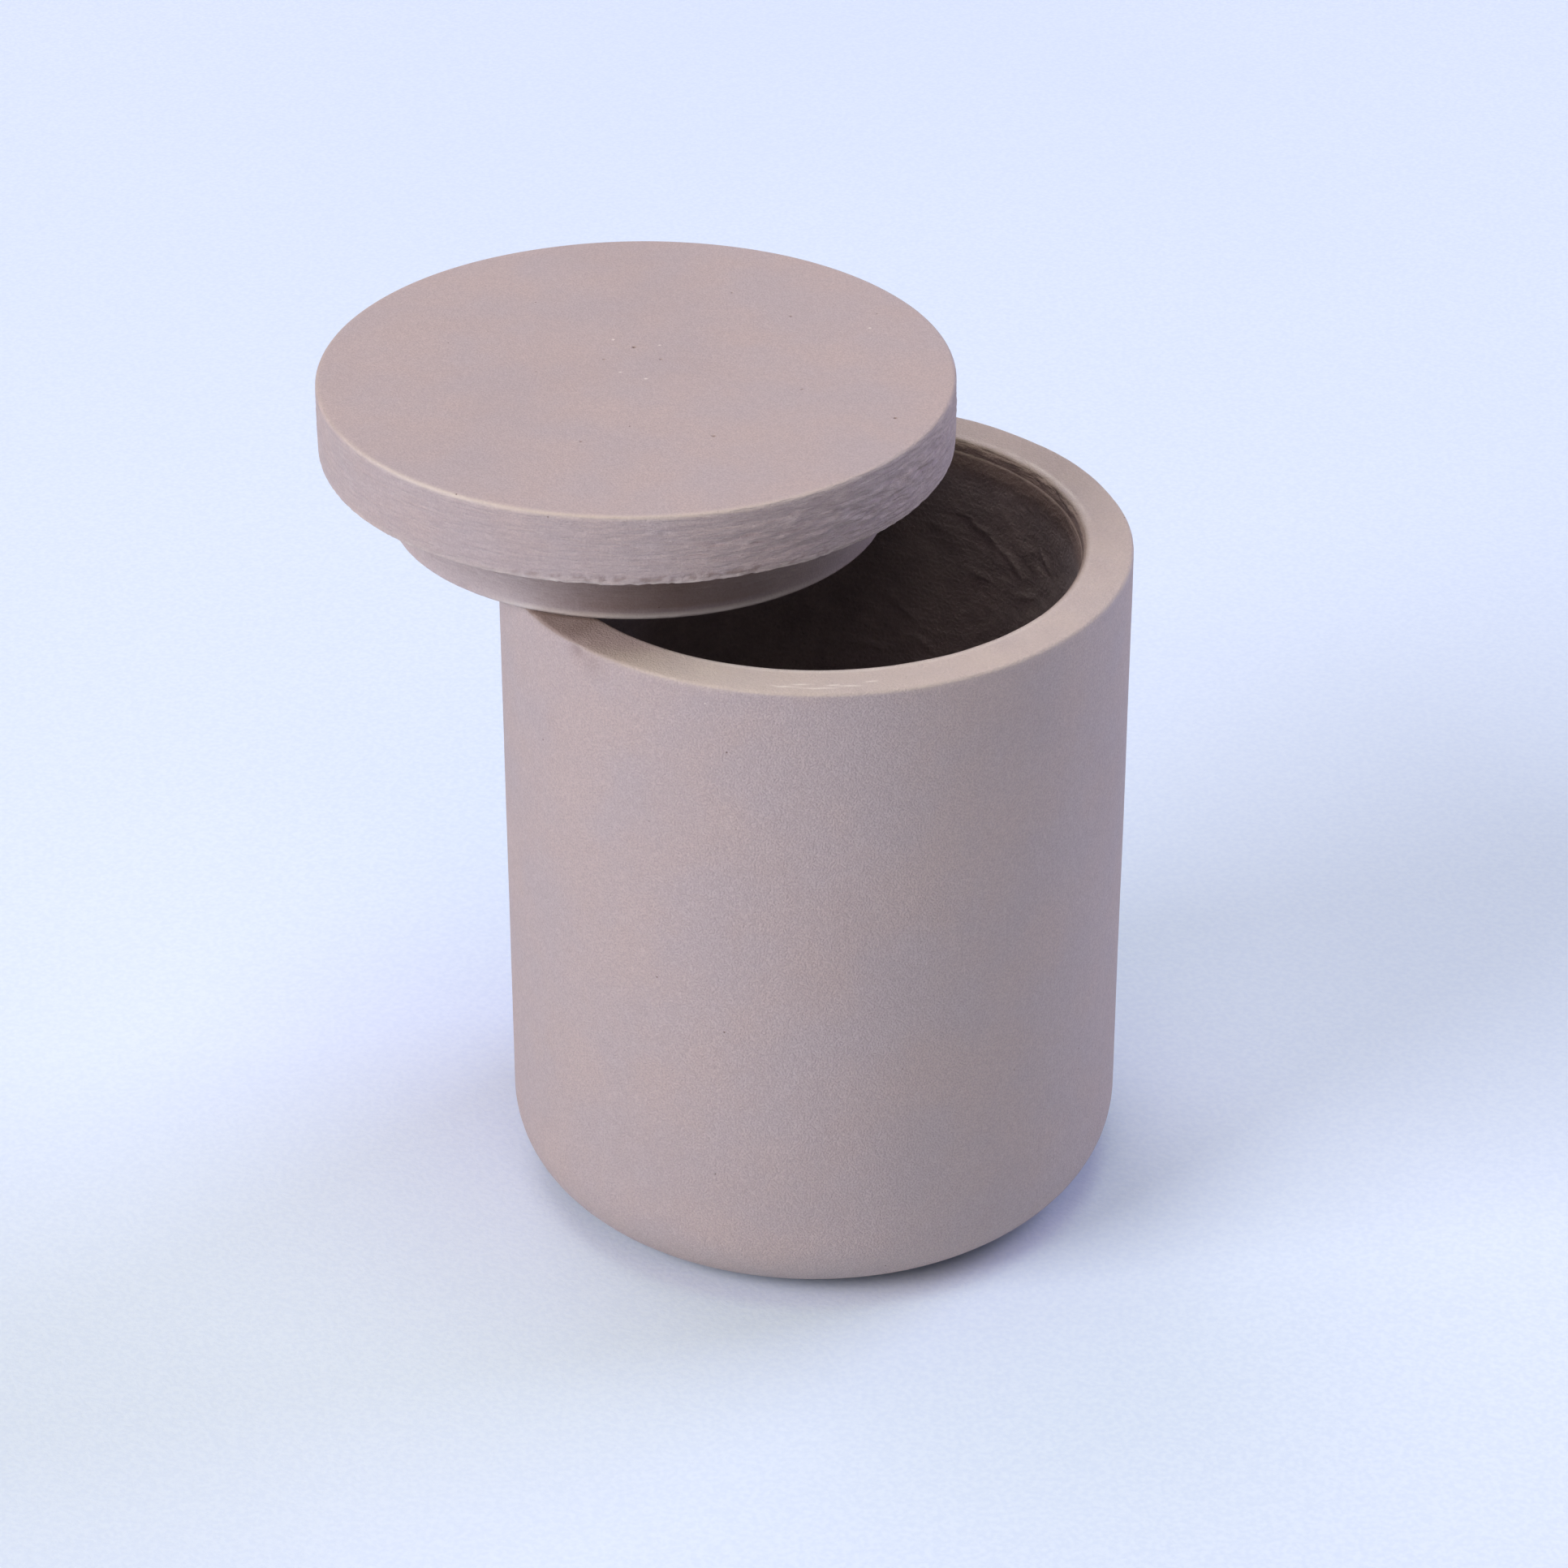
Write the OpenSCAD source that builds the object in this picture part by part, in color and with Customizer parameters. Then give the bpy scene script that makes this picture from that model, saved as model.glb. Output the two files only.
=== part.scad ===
// Round cast jar with a thick wall, a rounded foot and a dark lining, and a loose disc lid.
// A locating plug under the lid's disc drops into the mouth when the lid is on. Here the lid
// is pushed aside along -X, so the plug's flat underside rests on the rim and the mouth is open.
// Millimetres, +Z up. The origin is on the jar's axis, in the plane that the jar stands on.

/* [Jar] */
// Outer diameter of the jar
jar_d = 88; // [70:1:140]
// Height of the jar from its foot to its rim
jar_h = 100; // [60:1:160]
// Thickness of the side wall
wall_t = 7; // [5:0.5:10]
// Thickness of the floor
floor_t = 8; // [6:0.5:14]
// Radius of the rounded foot
foot_r = 12; // [6:0.5:18]
// Radius of the corner between the bore and the floor
bore_corner_r = 8; // [3:0.5:12]
// Radius of the rim's outer edge
rim_edge_r = 1.2; // [0.4:0.1:2.5]
// Width and depth of the small bevel round the mouth
mouth_bevel = 0.5; // [0.2:0.1:1.4]

/* [Lining] */
// Thickness of the dark lining
lining_t = 0.4; // [0.3:0.1:1]
// Distance from the rim down to the lining's upper edge
lining_drop = 1.6; // [1.6:0.1:6]

/* [Lid] */
// Diameter of the lid's disc
lid_d = 88.6; // [70:0.2:144]
// Thickness of the lid's disc
lid_t = 10.2; // [6:0.2:16]
// Radius of the disc's upper edge
lid_edge_r = 0.8; // [0.3:0.1:2.5]
// Radius of the disc's lower edge
lid_arris_r = 0.3; // [0.2:0.1:2]
// Height of the locating plug under the disc
plug_h = 10.2; // [4:0.2:16]
// Gap all round between the plug and the bore when the lid is on
plug_gap = 2; // [0.5:0.25:4]
// Radius of the plug's lower edge
plug_edge_r = 0.6; // [0.3:0.1:2]
// Distance that the lid is pushed aside from the jar's axis
lid_shift = 27.2; // [16:0.2:32]

/* [Hidden] */
$fn = 96;
jar_r = jar_d / 2;
lid_r = lid_d / 2;
bore_r = jar_r - wall_t;
plug_r = bore_r - plug_gap;
lining_top = jar_h - lining_drop;
disc_z = jar_h + plug_h;
over = 1;

// Half outline of a round slab from the axis out to r, its lower outer corner rounded
module tub_outline(r, z0, z1, corner_r) {
    translate([0, z0 + corner_r])
        square([r, z1 - z0 - corner_r]);
    translate([0, z0])
        square([r - corner_r, z1 - z0]);
    translate([r - corner_r, z0 + corner_r])
        circle(corner_r);
}

// The same outline turned over, so that its upper outer corner is the rounded one
module cap_outline(r, z0, z1, corner_r) {
    translate([0, z0 + z1])
        mirror([0, 1])
            tub_outline(r, z0, z1, corner_r);
}

// Half outline of a round slab with both of its outer corners rounded
module slab_outline(r, z0, z1, low_r, high_r) {
    intersection() {
        tub_outline(r, z0, z1, low_r);
        cap_outline(r, z0, z1, high_r);
    }
}

// Half outline of the mouth's bevel, a cone that widens up to the rim
module bevel_outline() {
    polygon([
        [0, jar_h - mouth_bevel],
        [bore_r, jar_h - mouth_bevel],
        [bore_r + mouth_bevel, jar_h],
        [bore_r + mouth_bevel, jar_h + over],
        [0, jar_h + over]
    ]);
}

// Thick cast wall and floor in one piece, standing on its flat foot
module jar_body() {
    color("#b9a7a9")
        rotate_extrude()
            difference() {
                slab_outline(jar_r, 0, jar_h, foot_r, rim_edge_r);
                tub_outline(bore_r, floor_t, jar_h + over, bore_corner_r);
                bevel_outline();
            }
}

// Thin dark skin over the whole bore and floor, ending a little below the rim
module inner_lining() {
    color("#3a302f")
        rotate_extrude()
            difference() {
                tub_outline(bore_r, floor_t, lining_top, bore_corner_r);
                tub_outline(bore_r - lining_t, floor_t + lining_t, jar_h, bore_corner_r - lining_t);
            }
}

// Lid's disc and its plug, cast in one piece, with the plug's underside level with the rim
module lid() {
    color("#beaeaf")
        translate([-lid_shift, 0, 0])
            rotate_extrude() {
                slab_outline(lid_r, disc_z, disc_z + lid_t, lid_arris_r, lid_edge_r);
                tub_outline(plug_r, jar_h, disc_z + lid_t / 2, plug_edge_r);
            }
}

jar_body();
inner_lining();
lid();
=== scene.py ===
"""Lidded cast jar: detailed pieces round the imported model, with their stage, lights and camera."""
import math

import bmesh
import bpy
from mathutils import Matrix, Vector, noise


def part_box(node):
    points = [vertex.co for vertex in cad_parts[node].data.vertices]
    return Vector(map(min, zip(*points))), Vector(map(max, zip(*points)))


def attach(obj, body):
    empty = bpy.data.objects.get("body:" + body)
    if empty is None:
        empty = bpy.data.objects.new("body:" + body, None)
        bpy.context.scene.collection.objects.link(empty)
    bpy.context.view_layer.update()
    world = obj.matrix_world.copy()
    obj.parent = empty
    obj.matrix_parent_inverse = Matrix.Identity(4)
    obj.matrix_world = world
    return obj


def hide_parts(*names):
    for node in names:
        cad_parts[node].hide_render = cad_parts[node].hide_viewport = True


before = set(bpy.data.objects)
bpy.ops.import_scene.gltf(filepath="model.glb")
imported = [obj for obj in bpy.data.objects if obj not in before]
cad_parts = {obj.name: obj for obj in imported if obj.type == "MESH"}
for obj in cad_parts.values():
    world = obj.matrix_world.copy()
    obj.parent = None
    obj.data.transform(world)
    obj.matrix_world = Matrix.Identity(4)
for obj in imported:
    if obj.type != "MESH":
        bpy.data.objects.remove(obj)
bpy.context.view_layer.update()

MM = 0.001

# ---------------------------------------------------------------- sizes from the frame
_, JAR_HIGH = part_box("jar_body")
LINING_LOW, LINING_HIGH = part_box("inner_lining")
LID_LOW, LID_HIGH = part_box("lid")
JAR_R = JAR_HIGH.x
RIM_Z = JAR_HIGH.z
BORE_R = LINING_HIGH.x
FLOOR_Z = LINING_LOW.z
LINING_TOP = LINING_HIGH.z
LID_R = (LID_HIGH.x - LID_LOW.x) / 2
LID_X = (LID_HIGH.x + LID_LOW.x) / 2
LID_TOP = LID_HIGH.z

# Sizes that the boxes don't show, as in the design, but with crisper upper edges
FOOT_R = 12 * MM
RIM_EDGE = 0.5 * MM
MOUTH_BEVEL = 0.5 * MM
BORE_CORNER = 8 * MM
LINING_T = 0.4 * MM
DISC_T = 10.2 * MM
LID_EDGE = 0.6 * MM
LID_ARRIS = 0.3 * MM
PLUG_R = BORE_R - 2 * MM
PLUG_EDGE = 0.6 * MM
DISC_Z = LID_TOP - DISC_T

# Vertices round each turned mesh, in eights because of the grid that fills its ends
JAR_SEGMENTS = 480
LINING_SEGMENTS = 400
LID_SEGMENTS = 560


# ---------------------------------------------------------------- outlines and turned meshes
def line_to(points, r, z, step):
    """Adds points (r, z) along a straight line from the last point, about a step apart."""
    r0, z0 = points[-1]
    count = max(1, round(math.hypot(r - r0, z - z0) / step))
    for i in range(1, count + 1):
        t = i / count
        points.append((r0 + (r - r0) * t, z0 + (z - z0) * t))


def arc_to(points, r, z, radius, start, end, count):
    """Adds points on an arc about (r, z), from after the start angle to the end one, in degrees."""
    for i in range(1, count + 1):
        a = math.radians(start + (end - start) * i / count)
        points.append((r + radius * math.cos(a), z + radius * math.sin(a)))


def ring_place(i, j):
    """Ring number and place along the ring of a point of a square grid, counted from its middle."""
    k = max(abs(i), abs(j))
    if k == 0:
        return 0, 0
    if i == k and j < k:
        return k, j % (8 * k)
    if j == k:
        return k, 2 * k - i
    if i == -k:
        return k, 4 * k - j
    return k, 6 * k + i


def cap(verts, faces, edge, z, upward):
    """Fills a ring of vertices with an even grid of quads, so that a flat end has no pole."""
    rings = len(edge) // 8
    radius = math.hypot(*verts[edge[0]][:2])
    index = {(rings, n): v for n, v in enumerate(edge)}
    for k in range(rings):
        for n in range(max(1, 8 * k)):
            a = 2 * math.pi * n / max(1, 8 * k)
            r = radius * k / rings
            index[k, n] = len(verts)
            verts.append((r * math.cos(a), r * math.sin(a), z))
    for i in range(-rings, rings):
        for j in range(-rings, rings):
            corners = [(i, j), (i + 1, j), (i + 1, j + 1), (i, j + 1)]
            face = [index[ring_place(*c)] for c in corners]
            faces.append(face if upward else face[::-1])


def turned(name, outline, segments):
    """A closed mesh turned round Z from an outline that runs from its lower to its upper cap."""
    verts, faces = [], []
    for r, z in outline:
        for n in range(segments):
            a = 2 * math.pi * n / segments
            verts.append((r * math.cos(a), r * math.sin(a), z))
    for row in range(len(outline) - 1):
        for n in range(segments):
            a = row * segments + n
            b = row * segments + (n + 1) % segments
            faces.append((a, b, b + segments, a + segments))
    cap(verts, faces, list(range(segments)), outline[0][1], False)
    last = (len(outline) - 1) * segments
    cap(verts, faces, list(range(last, last + segments)), outline[-1][1], True)
    mesh = bpy.data.meshes.new(name)
    mesh.from_pydata(verts, [], faces)
    mesh.update()
    mesh.polygons.foreach_set("use_smooth", [True] * len(mesh.polygons))
    piece = bpy.data.objects.new(name, mesh)
    bpy.context.scene.collection.objects.link(piece)
    return piece


# ---------------------------------------------------------------- relief
def smooth(low, high, x):
    """0 below low, 1 above high and a smooth step between them."""
    t = min(1, max(0, (x - low) / (high - low)))
    return t * t * (3 - 2 * t)


def near(x, middle, width):
    """1 at the middle, fading smoothly to 0 at a width away."""
    return 1 - smooth(0, width, abs(x - middle))


def turn_from(angle, middle):
    """Turn in degrees from one direction to another, from -180 to 180."""
    return (angle - middle + 180) % 360 - 180


def facing(p, middle, width):
    """1 where a place lies in a direction from the Z axis, fading to 0 at a width in degrees away."""
    return near(turn_from(math.degrees(math.atan2(p.y, p.x)), middle), 0, width)


def lumps(p, size, seed=0):
    """Noise from about -1 to 1, with lumps of about a size."""
    return noise.noise(Vector((p.x / size + seed, p.y / size - seed, p.z / size + 2 * seed)))


def streaks(p, along, across, seed=0):
    """Noise drawn out round the Z axis, with streaks of about a length and a height."""
    return noise.noise(Vector((p.x / along + seed, p.y / along - seed, p.z / across + 2 * seed)))


def spot(p, x, y, z, radius):
    """1 at a point, fading smoothly to 0 at a radius away."""
    return 1 - smooth(0, radius, (p - Vector((x, y, z))).length)


def refine(piece, spots, cuts):
    """Divides the faces round each (x, y, z, radius) spot, so that fine relief has vertices to move."""
    mesh = bmesh.new()
    mesh.from_mesh(piece.data)
    edges = set()
    for face in mesh.faces:
        middle = face.calc_center_median()
        if any((middle - Vector((x, y, z))).length < radius for x, y, z, radius in spots):
            edges.update(face.edges)
    bmesh.ops.subdivide_edges(mesh, edges=list(edges), cuts=cuts, use_grid_fill=True)
    mesh.to_mesh(piece.data)
    mesh.free()


def carve(piece, relief, marks):
    """Moves each vertex along its normal by the relief, and stores each mark as a value from 0 to 1."""
    mesh = piece.data
    places = [v.co.copy() for v in mesh.vertices]
    normals = [v.normal.copy() for v in mesh.vertices]
    for v, p, n in zip(mesh.vertices, places, normals):
        v.co = p + n * relief(p)
    for mark, value in marks.items():
        layer = mesh.attributes.new(mark, "FLOAT", "POINT")
        layer.data.foreach_set("value", [value(p) for p in places])
    mesh.update()


# ---------------------------------------------------------------- jar casting
# Directions round the jar's axis, in degrees from +X towards +Y
FRONT = -66
TORN_LIP = 55
CHIP_PLACE = -113
# Direction of the painted shade on the rim beside the lid's plug
RIM_SHADE_PLACE = -135


def on_jar(direction_deg, z):
    """Place (x, y, z) on the jar's wall in a direction in degrees."""
    a = math.radians(direction_deg)
    return JAR_R * math.cos(a), JAR_R * math.sin(a), z


CHIP = on_jar(CHIP_PLACE, RIM_Z - 1.2 * MM)
CHIP_SPOT = [(*CHIP, 3 * MM)]

# Scratches on the rim: direction in degrees, and distance from the axis and half length in mm
SCRATCHES = (
    (-72, 42.2, 1.6),
    (-69, 41.4, 1.1),
    (-66, 42.4, 2.2),
    (-63, 41.6, 0.9),
    (-60, 42.0, 1.3),
    (-56, 41.2, 0.8),
    (-86, 40.6, 0.7),
)
SCRATCHED = [(*on_jar(place, RIM_Z), 3.5 * MM) for place in range(-76, -52, 3)]


def jar_outline():
    """Half outline of the jar, with closer points near the rim and the mouth."""
    points = [(JAR_R - FOOT_R, 0)]
    arc_to(points, JAR_R - FOOT_R, FOOT_R, FOOT_R, -90, 0, 16)
    line_to(points, JAR_R, RIM_Z - RIM_EDGE - 6 * MM, 1.4 * MM)
    line_to(points, JAR_R, RIM_Z - RIM_EDGE, 0.6 * MM)
    arc_to(points, JAR_R - RIM_EDGE, RIM_Z - RIM_EDGE, RIM_EDGE, 0, 90, 6)
    line_to(points, BORE_R + MOUTH_BEVEL, RIM_Z, 0.55 * MM)
    line_to(points, BORE_R, RIM_Z - MOUTH_BEVEL, 0.25 * MM)
    line_to(points, BORE_R, LINING_TOP - 2 * MM, 0.35 * MM)
    line_to(points, BORE_R, FLOOR_Z + BORE_CORNER, 8 * MM)
    arc_to(points, BORE_R - BORE_CORNER, FLOOR_Z + BORE_CORNER, BORE_CORNER, 0, -90, 5)
    return points


def at_rim_edge(p):
    """1 on the rim's outer edge, fading over 1.6 mm."""
    r = math.hypot(p.x, p.y)
    return near(r, JAR_R, 1.6 * MM) * near(p.z, RIM_Z, 1.6 * MM)


def at_mouth(p):
    """1 on the mouth's edge, fading over about 2 mm."""
    r = math.hypot(p.x, p.y)
    return near(r, BORE_R, 1.6 * MM) * near(p.z, RIM_Z, 2.2 * MM)


def jar_relief(p):
    """Slow waves in the wall, a worn rim edge, a torn mouth edge and the dent under the rim."""
    r = math.hypot(p.x, p.y)
    skin = smooth(BORE_R + 1 * MM, JAR_R - 1 * MM, r) * smooth(0, 4 * MM, p.z)
    move = skin * (0.06 * lumps(p, 24 * MM) + 0.02 * lumps(p, 6 * MM, 3))
    edge = at_rim_edge(p)
    move -= edge * (0.04 + 0.09 * lumps(p, 9 * MM, 5) + 0.03 * lumps(p, 1.8 * MM, 7))
    mouth = at_mouth(p)
    torn = facing(p, TORN_LIP, 50)
    move -= mouth * (0.05 + 0.05 * lumps(p, 5 * MM, 9))
    tear = 0.28 + 0.4 * streaks(p, 3 * MM, 0.8 * MM, 11) + 0.2 * lumps(p, 1.2 * MM, 10)
    move -= mouth * torn * tear
    move -= 0.35 * spot(p, *CHIP, 2.6 * MM)
    return move * MM


def on_rim(p):
    """1 on the rim's flat top, 0 below it."""
    return smooth(RIM_Z - 0.7 * MM, RIM_Z - 0.2 * MM, p.z)


def jar_wear(p):
    """Rubbed rim, and rougher clay along the mouth's edge."""
    rubbed = 0.5 + 0.22 * facing(p, FRONT, 90) + 0.2 * lumps(p, 5 * MM, 13)
    return max(0, on_rim(p) * rubbed, 0.3 * at_mouth(p))


def jar_chip_and_highlight(p):
    """Scratches on the rim, raw clay with a painted highlight along the mouth's edge, strongest at the
    front, and raw clay along its torn lip.
    """
    r = math.hypot(p.x, p.y)
    scratch = 0
    for place, radius, length in SCRATCHES:
        along = math.radians(turn_from(math.degrees(math.atan2(p.y, p.x)), place)) * r
        ragged = radius * MM + 0.25 * MM * lumps(p, 1.5 * MM, place)
        scratch = max(scratch, near(r, ragged, 0.3 * MM) * near(along, 0, 1.8 * length * MM))
    # Raw clay with a painted highlight along the mouth's edge, strongest at the front
    edge = near(r, BORE_R + MOUTH_BEVEL + 0.2 * MM, 0.7 * MM) * (0.8 + 0.5 * lumps(p, 2.2 * MM, 19))
    edge *= 0.2 + 0.8 * facing(p, FRONT, 75)
    lip_r = BORE_R + (1.5 + 0.5 * lumps(p, 3 * MM, 20)) * MM
    lip = near(r, lip_r, 0.5 * MM) * facing(p, TORN_LIP, 38)
    return min(1, max(0, on_rim(p) * max(scratch, edge, 0.8 * lip)))


def jar_stain_and_shade(p):
    """Dirt in the dent, painted shade on the rim beside the lid's plug and along the line where the
    plug rests, and a darker bore above the lining.
    """
    r = math.hypot(p.x, p.y)
    x, y, z = CHIP
    smear = spot(p, x + 3 * MM, y - 1 * MM, z - 0.6 * MM, 4 * MM)
    # Painted shade: the rim darkened beside the plug and along the line where the plug rests on it
    rim_shade = on_rim(p) * facing(p, RIM_SHADE_PLACE, 46) * (0.8 + 0.3 * lumps(p, 4 * MM, 27))
    contact_shade = on_rim(p) * near(math.hypot(p.x - LID_X, p.y), PLUG_R, 1 * MM)
    above = smooth(LINING_TOP - 1 * MM, LINING_TOP, p.z)
    above *= 1 - smooth(BORE_R + 0.2 * MM, BORE_R + 0.9 * MM, r)
    return max(0, 0.35 * spot(p, x, y, z, 2 * MM) + 0.2 * smear, rim_shade, 0.9 * contact_shade, 0.65 * above)


def jar_drag(p):
    """Drag marks in the torn lip of the mouth."""
    return at_mouth(p) * facing(p, TORN_LIP, 50)


jar = turned("jar_casting", jar_outline(), JAR_SEGMENTS)
refine(jar, CHIP_SPOT, 2)
refine(jar, SCRATCHED, 2)
carve(jar, jar_relief, {"wear_and_highlight": jar_wear, "chip_and_highlight": jar_chip_and_highlight, "stain_and_shade": jar_stain_and_shade, "drag": jar_drag})


# ---------------------------------------------------------------- lining
# Gap between the lining and the bore, so that their faces don't coincide
LINING_GAP = 0.03 * MM


def lining_outline():
    """Half outline of the lining, which thins out to nothing at its upper edge."""
    gap = LINING_GAP
    outer = BORE_R - gap
    inner = BORE_R - LINING_T
    corner = BORE_CORNER - LINING_T
    points = [(outer - BORE_CORNER, FLOOR_Z + gap)]
    arc_to(points, outer - BORE_CORNER, FLOOR_Z + BORE_CORNER, BORE_CORNER - gap, -90, 0, 5)
    line_to(points, outer, LINING_TOP - 2 * MM, 8 * MM)
    line_to(points, outer, LINING_TOP, 0.5 * MM)
    line_to(points, inner, LINING_TOP - 2 * MM, 0.4 * MM)
    line_to(points, inner, RIM_Z - 50 * MM, 0.5 * MM)
    line_to(points, inner, FLOOR_Z + LINING_T + corner, 1.5 * MM)
    arc_to(points, inner - corner, FLOOR_Z + LINING_T + corner, corner, 0, -90, 8)
    return points


# Creases in the lining: direction in degrees, height in mm, rise over run and length in mm
CREASES = (
    (68, 86, 0.55, 10),
    (75, 88, 0.35, 10),
    (62, 84, 0.8, 9),
    (72, 80, 0.2, 8),
    (93, 71, 0.9, 15),
    (88, 66, 0.5, 8),
    (58, 80, -0.3, 9),
    (100, 64, 0.1, 10),
    (50, 88, 0.5, 7),
)


def crease(p, direction_deg, z, lean, length, width):
    """1 along a straight crease in the wall, 0 beside it; its lean is a rise over a run."""
    a = math.atan2(p.y, p.x)
    run = math.radians(turn_from(math.degrees(a), direction_deg)) * BORE_R
    rise = p.z - z
    size = math.hypot(1, lean)
    along = (run + lean * rise) / size
    across = (rise - lean * run) / size
    across += 0.6 * MM * noise.noise(Vector((along / (3 * MM), z / MM, 0)))
    return near(along, 0, length / 2) * near(across, 0, width)


def lining_relief(p):
    """Folds and creases in the coat's inner side."""
    r = math.hypot(p.x, p.y)
    inside = 1 - smooth(BORE_R - 0.14 * MM, BORE_R - 0.05 * MM, r)
    inside *= smooth(FLOOR_Z + 4 * MM, FLOOR_Z + BORE_CORNER, p.z)
    fold = 1 - abs(lumps(p, 7 * MM, 2)) * 2
    fine = 1 - abs(lumps(p, 2.6 * MM, 4)) * 2
    move = 0.12 * fold + 0.10 * fine + 0.07 * lumps(p, 1.5 * MM, 6)
    for place, z, lean, length in CREASES:
        move += 0.3 * crease(p, place, z * MM, lean, length * MM, 0.6 * MM)
    return move * inside * MM


def lining_edge_shade(p):
    """1 at the lining's upper edge, where painted shade darkens the coat, fading to 0 lower down."""
    return smooth(LINING_TOP - 5 * MM, LINING_TOP - 1 * MM, p.z)


lining = turned("brushed_lining", lining_outline(), LINING_SEGMENTS)
carve(lining, lining_relief, {"edge": lining_edge_shade})


# ---------------------------------------------------------------- lid casting
# Pinholes in the lid's top: x and y from its middle and radius, all in mm
PINHOLES = (
    (-3.6, 6.8, 0.34),
    (1.5, 4.8, 0.25),
    (-5.7, 1.5, 0.2),
    (18.3, -14.1, 0.3),
    (2.7, -22.9, 0.22),
    (12.2, 25.1, 0.24),
    (23.3, 4.0, 0.2),
    (1.3, 28.9, 0.2),
    (38.5, 1.0, 0.3),
)
# Pale specks in the lid's top, in the same way
SPECKS = (
    (2.3, -1.7, 0.4),
    (-0.6, 8.8, 0.3),
    (-1.8, -1.3, 0.3),
    (-7.3, 7.8, 0.35),
    (24, 26, 0.35),
)
# Directions round the lid's axis, in degrees from +X towards +Y
DRAG_PLACE = -18
NICK_PLACE = -106
# Where a painted highlight of raw clay runs along the disc's upper edge
RAW_HIGHLIGHT_PLACE = -105
# Where the disc's upper edge is worn, with a painted highlight
WORN_HIGHLIGHT_PLACE = -65
CHIPPED_PLACE = -50
# Where the plug gets painted shade under the disc and a painted highlight along its lower edge
PLUG_SHADE_AND_HIGHLIGHT_PLACE = -56


def lid_outline():
    """Half outline of the lid, up the plug, out under the disc and up its side."""
    points = [(PLUG_R - PLUG_EDGE, RIM_Z)]
    arc_to(points, PLUG_R - PLUG_EDGE, RIM_Z + PLUG_EDGE, PLUG_EDGE, -90, 0, 5)
    line_to(points, PLUG_R, DISC_Z, 0.7 * MM)
    line_to(points, LID_R - LID_ARRIS, DISC_Z, 0.8 * MM)
    arc_to(points, LID_R - LID_ARRIS, DISC_Z + LID_ARRIS, LID_ARRIS, -90, 0, 3)
    line_to(points, LID_R, LID_TOP - LID_EDGE, 0.26 * MM)
    arc_to(points, LID_R - LID_EDGE, LID_TOP - LID_EDGE, LID_EDGE, 0, 90, 6)
    line_to(points, LID_R - 3 * MM, LID_TOP, 0.5 * MM)
    return points


def lid_relief(p):
    """Drag ridges round the disc, crumbled lower arrises, a nick in the plug and pinholes on top."""
    r = math.hypot(p.x, p.y)
    side = smooth(LID_R - 0.5 * MM, LID_R - 0.1 * MM, r)
    low = near(p.z, DISC_Z, 1.2 * MM) * smooth(PLUG_R + 6 * MM, LID_R, r)
    low *= 0.3 + 0.7 * facing(p, CHIPPED_PLACE, 90)
    drag = facing(p, DRAG_PLACE, 60)
    level = near(p.z, (DISC_Z + LID_TOP) / 2, 5.6 * MM)
    wavy = p + Vector((0, 0, 1.1 * MM * lumps(p, 6 * MM, 25)))
    ridges = 1 - abs(streaks(wavy, 5 * MM, 0.9 * MM, 1)) * 3
    furrows = streaks(wavy, 3 * MM, 0.6 * MM, 8)
    move = side * level * (0.06 + 0.27 * drag) * (ridges + 0.9 * furrows)
    move -= side * level * (0.04 + 0.25 * drag) * abs(lumps(p, 1.1 * MM, 26))
    move += side * 0.05 * lumps(p, 20 * MM, 12)
    move -= low * (0.05 + 0.32 * abs(lumps(p, 1.1 * MM, 14)) + 0.08 * lumps(p, 7 * MM, 15))
    move += 0.02 * lumps(p, 16 * MM, 16) * smooth(DISC_Z, LID_TOP, p.z)
    plug = near(r, PLUG_R, 0.8 * MM) * smooth(RIM_Z, RIM_Z + 0.3 * MM, p.z)
    plug *= 1 - smooth(DISC_Z - 1 * MM, DISC_Z, p.z)
    foot = plug * near(p.z, RIM_Z, 1.4 * MM)
    move -= foot * (0.03 + 0.12 * abs(lumps(p, 1.8 * MM, 17)))
    move += plug * 0.03 * streaks(p, 9 * MM, 1.2 * MM, 18)
    a = math.radians(NICK_PLACE)
    move -= 0.5 * plug * spot(p, PLUG_R * math.cos(a), PLUG_R * math.sin(a), RIM_Z + 1 * MM, 1.6 * MM)
    for x, y, radius in PINHOLES:
        move -= radius * spot(p, x * MM, y * MM, LID_TOP, 1.1 * radius * MM)
    return move * MM


def lid_wear_and_highlight(p):
    """Paler rubbed clay on the disc's lower arris; on the disc's upper edge and the plug's lower edge,
    wear with a painted highlight, strongest towards the front.
    """
    r = math.hypot(p.x, p.y)
    arris = near(r, LID_R, 1 * MM) * near(p.z, DISC_Z, 1.5 * MM) * (0.3 + 0.3 * lumps(p, 1.5 * MM, 21))
    # Wear with a painted highlight along the disc's upper edge, strongest in one direction
    upper = near(r, LID_R - 0.25 * MM, 0.6 * MM) * near(p.z, LID_TOP - 0.2 * MM, 0.6 * MM)
    upper *= 0.15 + 0.7 * facing(p, WORN_HIGHLIGHT_PLACE, 75)
    # Wear with a painted highlight along the plug's lower edge, only towards the front
    foot = near(r, PLUG_R, 0.9 * MM) * near(p.z, RIM_Z + 0.5 * MM, 0.65 * MM)
    foot *= 1.1 + 0.5 * lumps(p, 2 * MM, 22)
    foot *= facing(p, PLUG_SHADE_AND_HIGHLIGHT_PLACE, 54)
    return min(1, max(0, arris, upper, foot))


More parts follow.
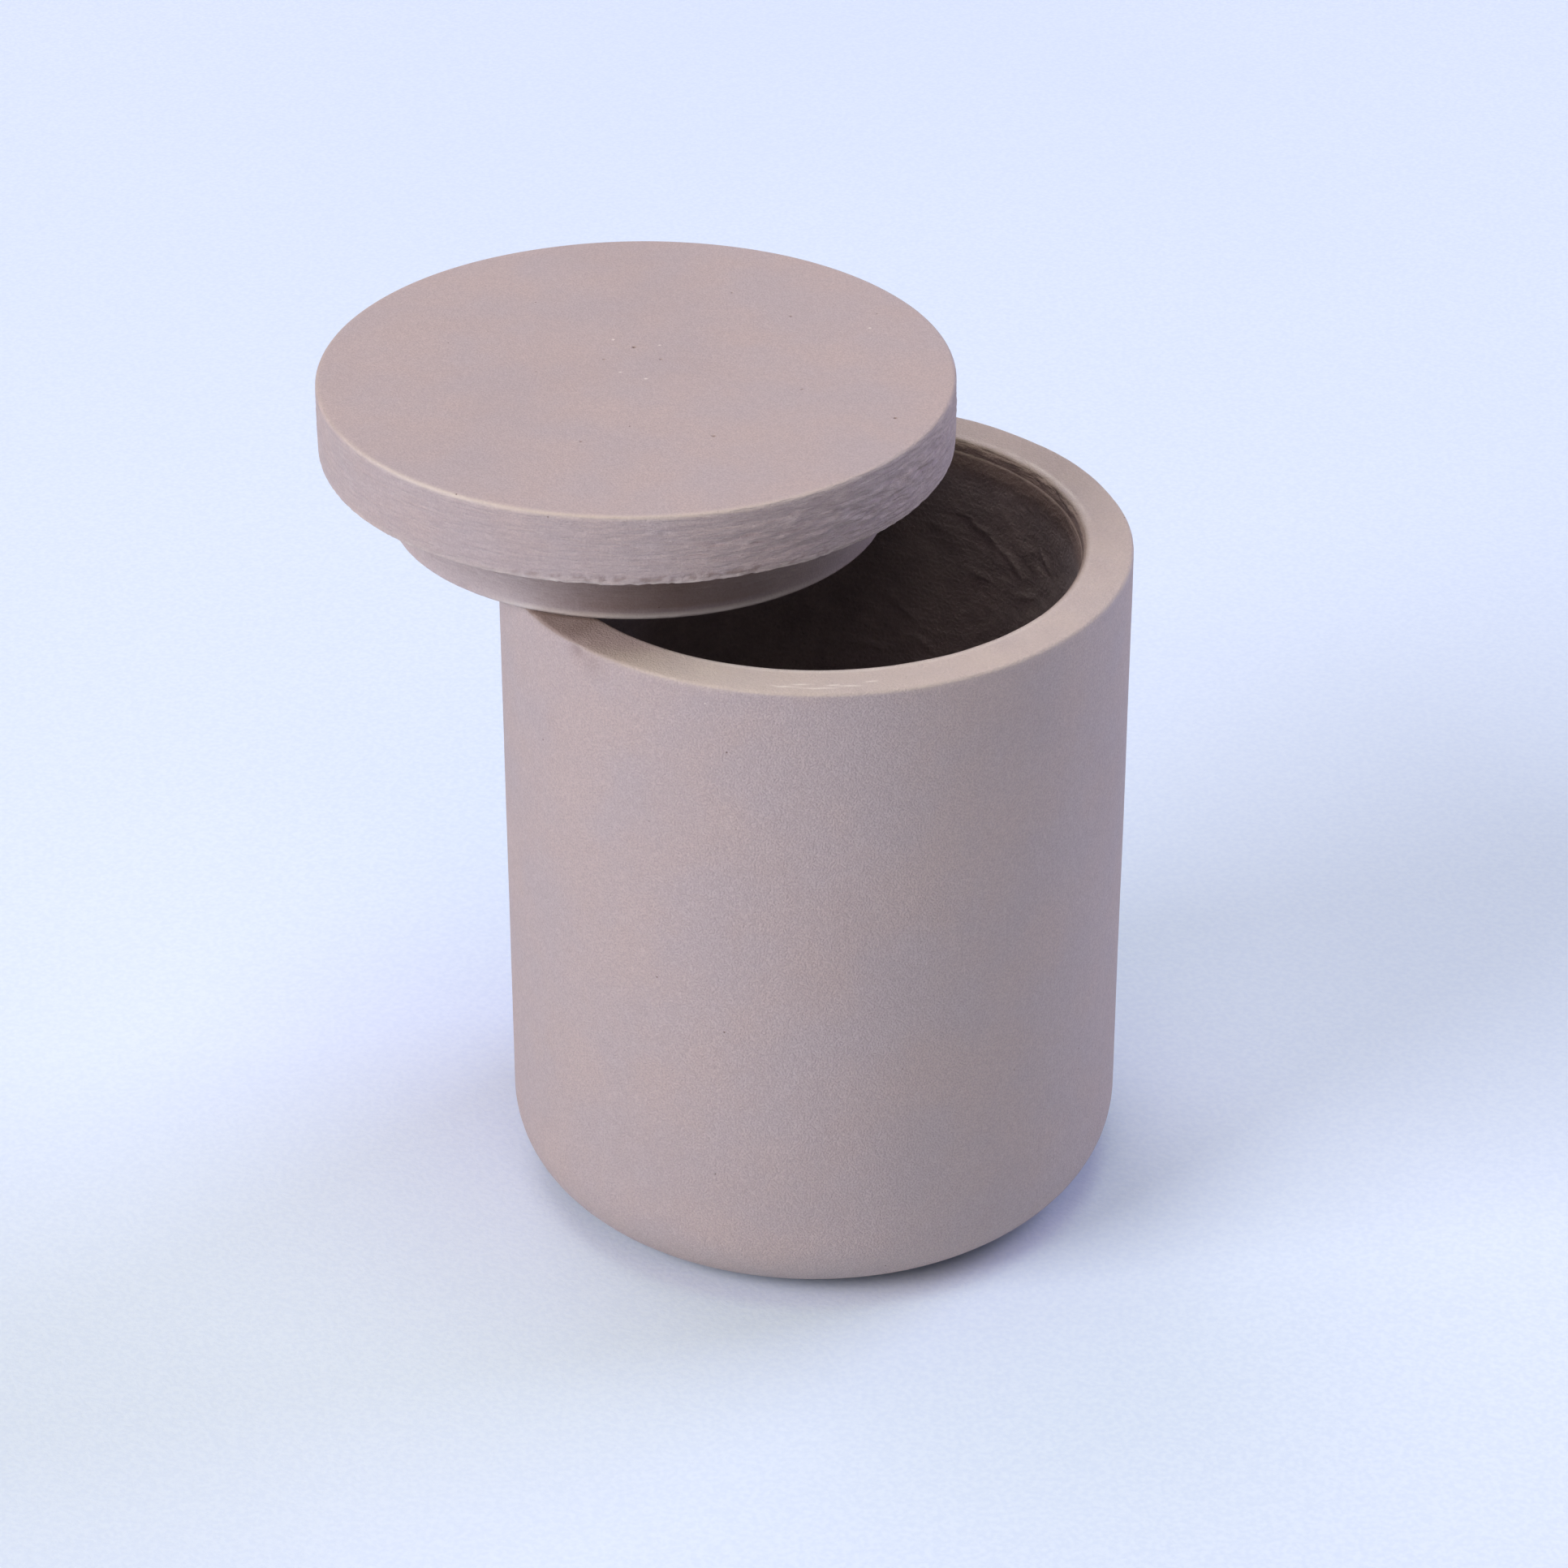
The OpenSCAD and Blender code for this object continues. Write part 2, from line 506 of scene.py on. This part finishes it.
def lid_chip_and_highlight(p):
    """Raw clay in chips of the lower arrises and in a few specks, and raw clay with a painted highlight
    along the plug's lower edge and part of the disc's upper edge.
    """
    r = math.hypot(p.x, p.y)
    rough = 0.3 + 0.7 * facing(p, CHIPPED_PLACE, 80)
    arris = near(r, LID_R, 0.6 * MM) * near(p.z, DISC_Z + 0.2 * MM, 0.7 * MM) * lumps(p, 1.3 * MM, 14)
    # Raw clay with a painted highlight along the plug's lower edge, only towards the front
    foot = near(r, PLUG_R, 0.8 * MM) * near(p.z, RIM_Z + 0.5 * MM, 0.65 * MM)
    foot *= 1.2 + 0.5 * lumps(p, 1.7 * MM, 24)
    foot *= facing(p, PLUG_SHADE_AND_HIGHLIGHT_PLACE, 54)
    # Painted highlight of raw clay along part of the disc's upper edge
    upper = near(r, LID_R - 0.2 * MM, 0.5 * MM) * near(p.z, LID_TOP - 0.2 * MM, 0.5 * MM)
    upper *= facing(p, RAW_HIGHLIGHT_PLACE, 35)
    specks = max(spot(p, x * MM, y * MM, LID_TOP, radius * MM) for x, y, radius in SPECKS)
    return min(1, max(0, 0.9 * arris * rough, foot, 0.4 * upper, specks))


def lid_stain_and_shade(p):
    """Dirt in the pinholes and in the lower arris's pits, and painted shade on the plug under the disc,
    darkest just below it and towards the front.
    """
    r = math.hypot(p.x, p.y)
    pit = max(spot(p, x * MM, y * MM, LID_TOP, 1.3 * radius * MM) for x, y, radius in PINHOLES)
    arris = near(r, LID_R, 1 * MM) * near(p.z, DISC_Z + 0.9 * MM, 1 * MM) * facing(p, CHIPPED_PLACE, 70)
    arris *= smooth(0.1, 0.35, lumps(p, 0.9 * MM, 27))
    # Painted shade on the plug: darkest just under the disc and towards the front, fading down to its
    # foot
    under = 1 - smooth(DISC_Z - 0.2 * MM, DISC_Z + 0.2 * MM, p.z)
    above_foot = 0.05 + 0.95 * smooth(RIM_Z + 0.7 * MM, RIM_Z + 1.8 * MM, p.z)
    above_foot += 0.6 * smooth(RIM_Z + 4 * MM, DISC_Z, p.z)
    cloud = 0.04 + 0.76 * facing(p, PLUG_SHADE_AND_HIGHLIGHT_PLACE, 48) + 0.08 * lumps(p, 6 * MM, 23)
    plug_shade = under * above_foot * cloud
    return max(0, pit, plug_shade, 0.6 * arris)


def lid_drag(p):
    """Drag marks round the disc's side, deepest at the drag place, and fainter round the plug."""
    r = math.hypot(p.x, p.y)
    side = smooth(LID_R - 0.5 * MM, LID_R - 0.1 * MM, r)
    plug = near(r, PLUG_R, 0.8 * MM) * near(p.z, RIM_Z + 5 * MM, 6 * MM)
    return max(side * (0.5 + 0.5 * facing(p, DRAG_PLACE, 70)), 0.6 * plug)


lid = turned("lid_casting", lid_outline(), LID_SEGMENTS)
refine(lid, [(x * MM, y * MM, LID_TOP, 0.8 * MM) for x, y, _ in PINHOLES + SPECKS], 3)
carve(lid, lid_relief, {"wear_and_highlight": lid_wear_and_highlight, "chip_and_highlight": lid_chip_and_highlight, "stain_and_shade": lid_stain_and_shade, "drag": lid_drag})
lid.data.transform(Matrix.Translation((LID_X, 0, 0)))


# ---------------------------------------------------------------- materials
# Numbers of a Mix node's factor, colour inputs and colour output
MIX_FACTOR = 0
MIX_UNDER = 6
MIX_OVER = 7
MIX_RESULT = 2

# Linear colours
WARM_CLAY = (0.585, 0.465, 0.41)
COOL_CLAY = (0.54, 0.455, 0.43)
DARK_CLAY = (0.36, 0.285, 0.27)
# Worn clay, also the colour of painted highlights on edges
WORN_AND_LIT_CLAY = (0.71, 0.595, 0.475)
# Raw clay, also the colour of painted highlights on edges
RAW_AND_LIT_CLAY = (0.86, 0.77, 0.66)
# Brown of dirt, also the colour of painted shade
DIRT_AND_SHADE_BROWN = (0.16, 0.09, 0.06)
COAT_BROWN = (0.42, 0.35, 0.315)
COAT_BLACK = (0.235, 0.20, 0.19)
COAT_GREY = (0.48, 0.43, 0.41)
PAPER = (0.84, 0.935, 1.0)
PAPER_SHADE = (0.73, 0.835, 0.955)


class Surface:
    """A material being built: patterns in object space that feed one Principled shader."""

    def __init__(self, name):
        self.material = bpy.data.materials.new(name)
        self.material.use_nodes = True
        self.tree = self.material.node_tree
        self.shader = self.tree.nodes["Principled BSDF"]
        self.place = self.add("ShaderNodeTexCoord", {}).outputs["Object"]

    def feed(self, socket, value):
        """Links another node's output to a socket, or sets a plain value on it."""
        if isinstance(value, bpy.types.NodeSocket):
            self.tree.links.new(value, socket)
        elif socket.type == "RGBA":
            socket.default_value = (*value, 1)
        else:
            socket.default_value = value

    def add(self, kind, inputs, **settings):
        """Adds a node with its settings, and its inputs by name or number."""
        item = self.tree.nodes.new(kind)
        for name, value in settings.items():
            setattr(item, name, value)
        for name, value in inputs.items():
            self.feed(item.inputs[name], value)
        return item

    def times(self, a, b):
        """The product of two values."""
        return self.add("ShaderNodeMath", {0: a, 1: b}, operation="MULTIPLY").outputs["Value"]

    def step(self, value, low, high):
        """Smooth step from 0 at the low level to 1 at the high level, which may lie below it."""
        inputs = {"Value": value, "From Min": low, "From Max": high}
        return self.add("ShaderNodeMapRange", inputs, interpolation_type="SMOOTHSTEP").outputs["Result"]

    def scaled(self, along, across, seed):
        """Object space in steps of `along` in X and Y and of `across` in Z."""
        inputs = {
            "Vector": self.place,
            "Scale": (1 / along, 1 / along, 1 / across),
            "Location": (3.7 * seed, 1.9 * seed, 5.3 * seed),
        }
        return self.add("ShaderNodeMapping", inputs).outputs["Vector"]

    def mottle(self, size, seed, low=0.3, high=0.7, across=None):
        """Noise with lumps of about a size, from 0 where it is below low to 1 above high."""
        vector = self.scaled(size, across or size, seed)
        inputs = {"Vector": vector, "Scale": 1, "Detail": 3, "Roughness": 0.55}
        return self.step(self.add("ShaderNodeTexNoise", inputs).outputs["Fac"], low, high)

    def dots(self, spacing, radius, share, seed):
        """Round dots of about a radius, in about a share of the cells of a random pattern."""
        vector = self.scaled(spacing, spacing, seed)
        cells = self.add("ShaderNodeTexVoronoi", {"Vector": vector, "Scale": 1})
        inside = self.step(cells.outputs["Distance"], radius / spacing, 0.3 * radius / spacing)
        chosen = self.step(cells.outputs["Color"], 1 - share, 1.02 - share)
        return self.times(inside, chosen)

    def mark(self, name):
        """A value that carve stored on the mesh."""
        return self.add("ShaderNodeAttribute", {}, attribute_name=name).outputs["Fac"]

    def paint(self, under, over, mask, strength):
        """Lays a colour over another one where the mask is 1, at a strength."""
        inputs = {MIX_FACTOR: self.times(mask, strength), MIX_UNDER: under, MIX_OVER: over}
        return self.add("ShaderNodeMix", inputs, data_type="RGBA").outputs[MIX_RESULT]

    def bump(self, height, depth, normal=None):
        """Bends the light as a relief of a depth would, on top of an earlier bump."""
        inputs = {"Height": height, "Distance": depth}
        if normal:
            inputs["Normal"] = normal
        return self.add("ShaderNodeBump", inputs).outputs["Normal"]


def cast_surface(name, seed, grit):
    """Unglazed slip casting: warm and cool clouds, grain, pinholes, specks, paler worn edges with
    painted highlights, and stains with painted shade.
    """
    s = Surface(name)
    grain = s.mottle(0.28 * MM, seed)
    pores = s.mottle(1.1 * MM, seed + 1)
    pinholes = s.dots(3.4 * MM, 0.16 * MM, 0.35, seed + 2)
    specks = s.dots(5 * MM, 0.15 * MM, 0.3, seed + 3)
    drag = s.times(s.mark("drag"), s.mottle(3 * MM, seed + 4, across=0.4 * MM))
    color = s.paint(WARM_CLAY, COOL_CLAY, s.mottle(13 * MM, seed + 5), 0.8)
    color = s.paint(color, DARK_CLAY, s.mottle(34 * MM, seed + 6, 0.45, 0.8), 0.15)
    color = s.paint(color, DARK_CLAY, grain, 0.3 + 0.22 * grit)
    color = s.paint(color, DARK_CLAY, pores, 0.1)
    color = s.paint(color, DARK_CLAY, drag, 0.68)
    # Worn clay, with painted highlights on the disc's upper edge and the plug's lower edge
    color = s.paint(color, WORN_AND_LIT_CLAY, s.mark("wear_and_highlight"), 0.75)
    color = s.paint(color, RAW_AND_LIT_CLAY, specks, 0.8)
    # Raw clay in chips and scratches, with painted highlights along the mouth's edge, the plug's lower
    # edge and the disc's upper edge
    color = s.paint(color, RAW_AND_LIT_CLAY, s.mark("chip_and_highlight"), 0.9)
    color = s.paint(color, DIRT_AND_SHADE_BROWN, pinholes, 0.8)
    # Dirt, and painted shade on the rim beside the plug and on the plug under the disc
    color = s.paint(color, DIRT_AND_SHADE_BROWN, s.mark("stain_and_shade"), 0.85)
    normal = s.bump(pores, 0.035 * grit * MM)
    normal = s.bump(grain, 0.065 * grit * MM, normal)
    normal = s.bump(drag, 0.16 * MM, normal)
    normal = s.bump(s.step(pinholes, 1, 0), 0.12 * MM, normal)
    rough = s.add("ShaderNodeMapRange", {"Value": pores, "To Min": 0.72, "To Max": 0.92})
    s.feed(s.shader.inputs["Base Color"], color)
    s.feed(s.shader.inputs["Roughness"], rough.outputs["Result"])
    s.feed(s.shader.inputs["Normal"], normal)
    s.feed(s.shader.inputs["Specular IOR Level"], 0.35)
    return s.material


def brushed_surface(name, seed):
    """Dark coat brushed on thickly: streaks round the bore, patches, pits and a satin sheen."""
    s = Surface(name)
    strokes = s.mottle(7 * MM, seed, across=0.8 * MM)
    patches = s.mottle(9 * MM, seed + 1)
    grit = s.mottle(0.5 * MM, seed + 2)
    pits = s.dots(4 * MM, 0.2 * MM, 0.4, seed + 3)
    color = s.paint(COAT_BROWN, COAT_BLACK, patches, 0.6)
    color = s.paint(color, COAT_GREY, strokes, 0.12)
    color = s.paint(color, COAT_BLACK, grit, 0.25)
    color = s.paint(color, COAT_GREY, pits, 0.6)
    # Painted shade at the lining's upper edge
    color = s.paint(color, DIRT_AND_SHADE_BROWN, s.mark("edge"), 0.6)
    normal = s.bump(strokes, 0.03 * MM)
    normal = s.bump(grit, 0.06 * MM, normal)
    rough = s.add("ShaderNodeMapRange", {"Value": patches, "To Min": 0.5, "To Max": 0.75})
    s.feed(s.shader.inputs["Base Color"], color)
    s.feed(s.shader.inputs["Roughness"], rough.outputs["Result"])
    s.feed(s.shader.inputs["Normal"], normal)
    s.feed(s.shader.inputs["Specular IOR Level"], 0.4)
    return s.material


def paper_surface(name, seed):
    """Pale studio paper with a faint tooth and slow changes of tone."""
    s = Surface(name)
    tooth = s.mottle(0.8 * MM, seed)
    color = s.paint(PAPER, PAPER_SHADE, s.mottle(300 * MM, seed + 1), 0.25)
    color = s.paint(color, PAPER_SHADE, tooth, 0.5)
    s.feed(s.shader.inputs["Base Color"], color)
    s.feed(s.shader.inputs["Roughness"], 0.8)
    s.feed(s.shader.inputs["Normal"], s.bump(tooth, 0.02 * MM))
    s.feed(s.shader.inputs["Specular IOR Level"], 0.2)
    return s.material


jar.data.materials.append(cast_surface("cast_jar", 1, 1))
lid.data.materials.append(cast_surface("cast_lid", 11, 0.5))
lining.data.materials.append(brushed_surface("lining_coat", 21))

for piece, body, slot, node in (
    (jar, "jar", "cast_jar", "jar_body"),
    (lining, "jar", "lining_coat", "inner_lining"),
    (lid, "lid", "cast_lid", "lid"),
):
    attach(piece, body)
    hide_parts(node)


# ---------------------------------------------------------------- stage
FLOOR_R = 2.6
FLOOR_SIDES = 96

# The air is as pale as the floor up to a little over the horizon, and dim above. The heights are
# those of a view direction, from 0 at the horizon to 1 straight up.
HAZE = (0.80, 0.85, 1)
DIM = (0.05, 0.056, 0.075)
HAZE_END = 0.03
DIM_START = 0.2

bpy.ops.mesh.primitive_circle_add(vertices=FLOOR_SIDES, radius=FLOOR_R, fill_type="NGON")
floor = bpy.context.object
floor.name = "floor"
floor.data.materials.append(paper_surface("floor_paper", 31))

world = bpy.data.worlds.new("studio")
bpy.context.scene.world = world
world.use_nodes = True
tree = world.node_tree
height = tree.nodes.new("ShaderNodeSeparateXYZ")
fade = tree.nodes.new("ShaderNodeMapRange")
tone = tree.nodes.new("ShaderNodeMix")
fade.interpolation_type = "SMOOTHSTEP"
fade.inputs["From Min"].default_value = HAZE_END
fade.inputs["From Max"].default_value = DIM_START
tone.data_type = "RGBA"
tone.inputs[MIX_UNDER].default_value = (*HAZE, 1)
tone.inputs[MIX_OVER].default_value = (*DIM, 1)
tree.links.new(tree.nodes.new("ShaderNodeTexCoord").outputs["Generated"], height.inputs[0])
tree.links.new(height.outputs["Z"], fade.inputs["Value"])
tree.links.new(fade.outputs["Result"], tone.inputs[MIX_FACTOR])
tree.links.new(tone.outputs[MIX_RESULT], tree.nodes["Background"].inputs["Color"])

# ---------------------------------------------------------------- camera
# Angles in degrees, the distance from the aim in metres, and the lens and sensor in mm
CAMERA_AZIMUTH = 24.1
CAMERA_ELEVATION = 30.3
CAMERA_DISTANCE = 0.6976
CAMERA_LENS = 112.4
CAMERA_SENSOR = 36
AIM = Vector((-4.0, -1.8, 60.7)) * MM


def direction(azimuth_deg, elevation_deg):
    """Unit vector from the object to a place, with azimuth 0 on the -Y side and 90 on the +X side."""
    azimuth = math.radians(azimuth_deg)
    elevation = math.radians(elevation_deg)
    flat = math.cos(elevation)
    return Vector((math.sin(azimuth) * flat, -math.cos(azimuth) * flat, math.sin(elevation)))


def look_along(item, heading):
    """Turns a camera or a light so that it looks along a direction."""
    item.rotation_mode = "QUATERNION"
    item.rotation_quaternion = heading.to_track_quat("-Z", "Y")


camera_data = bpy.data.cameras.new("camera")
camera = bpy.data.objects.new("camera", camera_data)
bpy.context.scene.collection.objects.link(camera)
bpy.context.scene.camera = camera
camera_data.lens = CAMERA_LENS
camera_data.sensor_width = CAMERA_SENSOR
toward_camera = direction(CAMERA_AZIMUTH, CAMERA_ELEVATION)
camera.location = AIM + toward_camera * CAMERA_DISTANCE
look_along(camera, -toward_camera)


# ---------------------------------------------------------------- lights
SOFTBOX_DISTANCE = 2.5
SOFTBOX_SIZE = 1.33

# Softboxes: name, azimuth from the camera and elevation in degrees, power in watts, and colour
SOFTBOXES = (
    ("key", -60, 30, 42.5, (0.925, 0.895, 1)),
    ("top", 0, 90, 18.2, (0.85, 0.96, 0.73)),
    ("front", 0, 55, 8.8, (1, 0.76, 0.86)),
    ("back_right", 120, 30, 31, (0.63, 0.63, 1)),
    ("back_left", -150, 55, 13, (0.94, 0.8, 1)),
)


def soft_light(name, azimuth, elevation, power, color):
    """A square softbox that faces the jar from a direction in degrees."""
    data = bpy.data.lights.new(name, "AREA")
    data.shape = "SQUARE"
    data.size = SOFTBOX_SIZE
    data.energy = power
    data.color = color
    lamp = bpy.data.objects.new(name, data)
    bpy.context.scene.collection.objects.link(lamp)
    toward = direction(azimuth, elevation)
    lamp.location = Vector((0, 0, RIM_Z / 2)) + toward * SOFTBOX_DISTANCE
    look_along(lamp, -toward)


for name, turn, elevation, power, color in SOFTBOXES:
    soft_light(name, CAMERA_AZIMUTH + turn, elevation, power, color)

bpy.context.scene.view_settings.view_transform = "Standard"
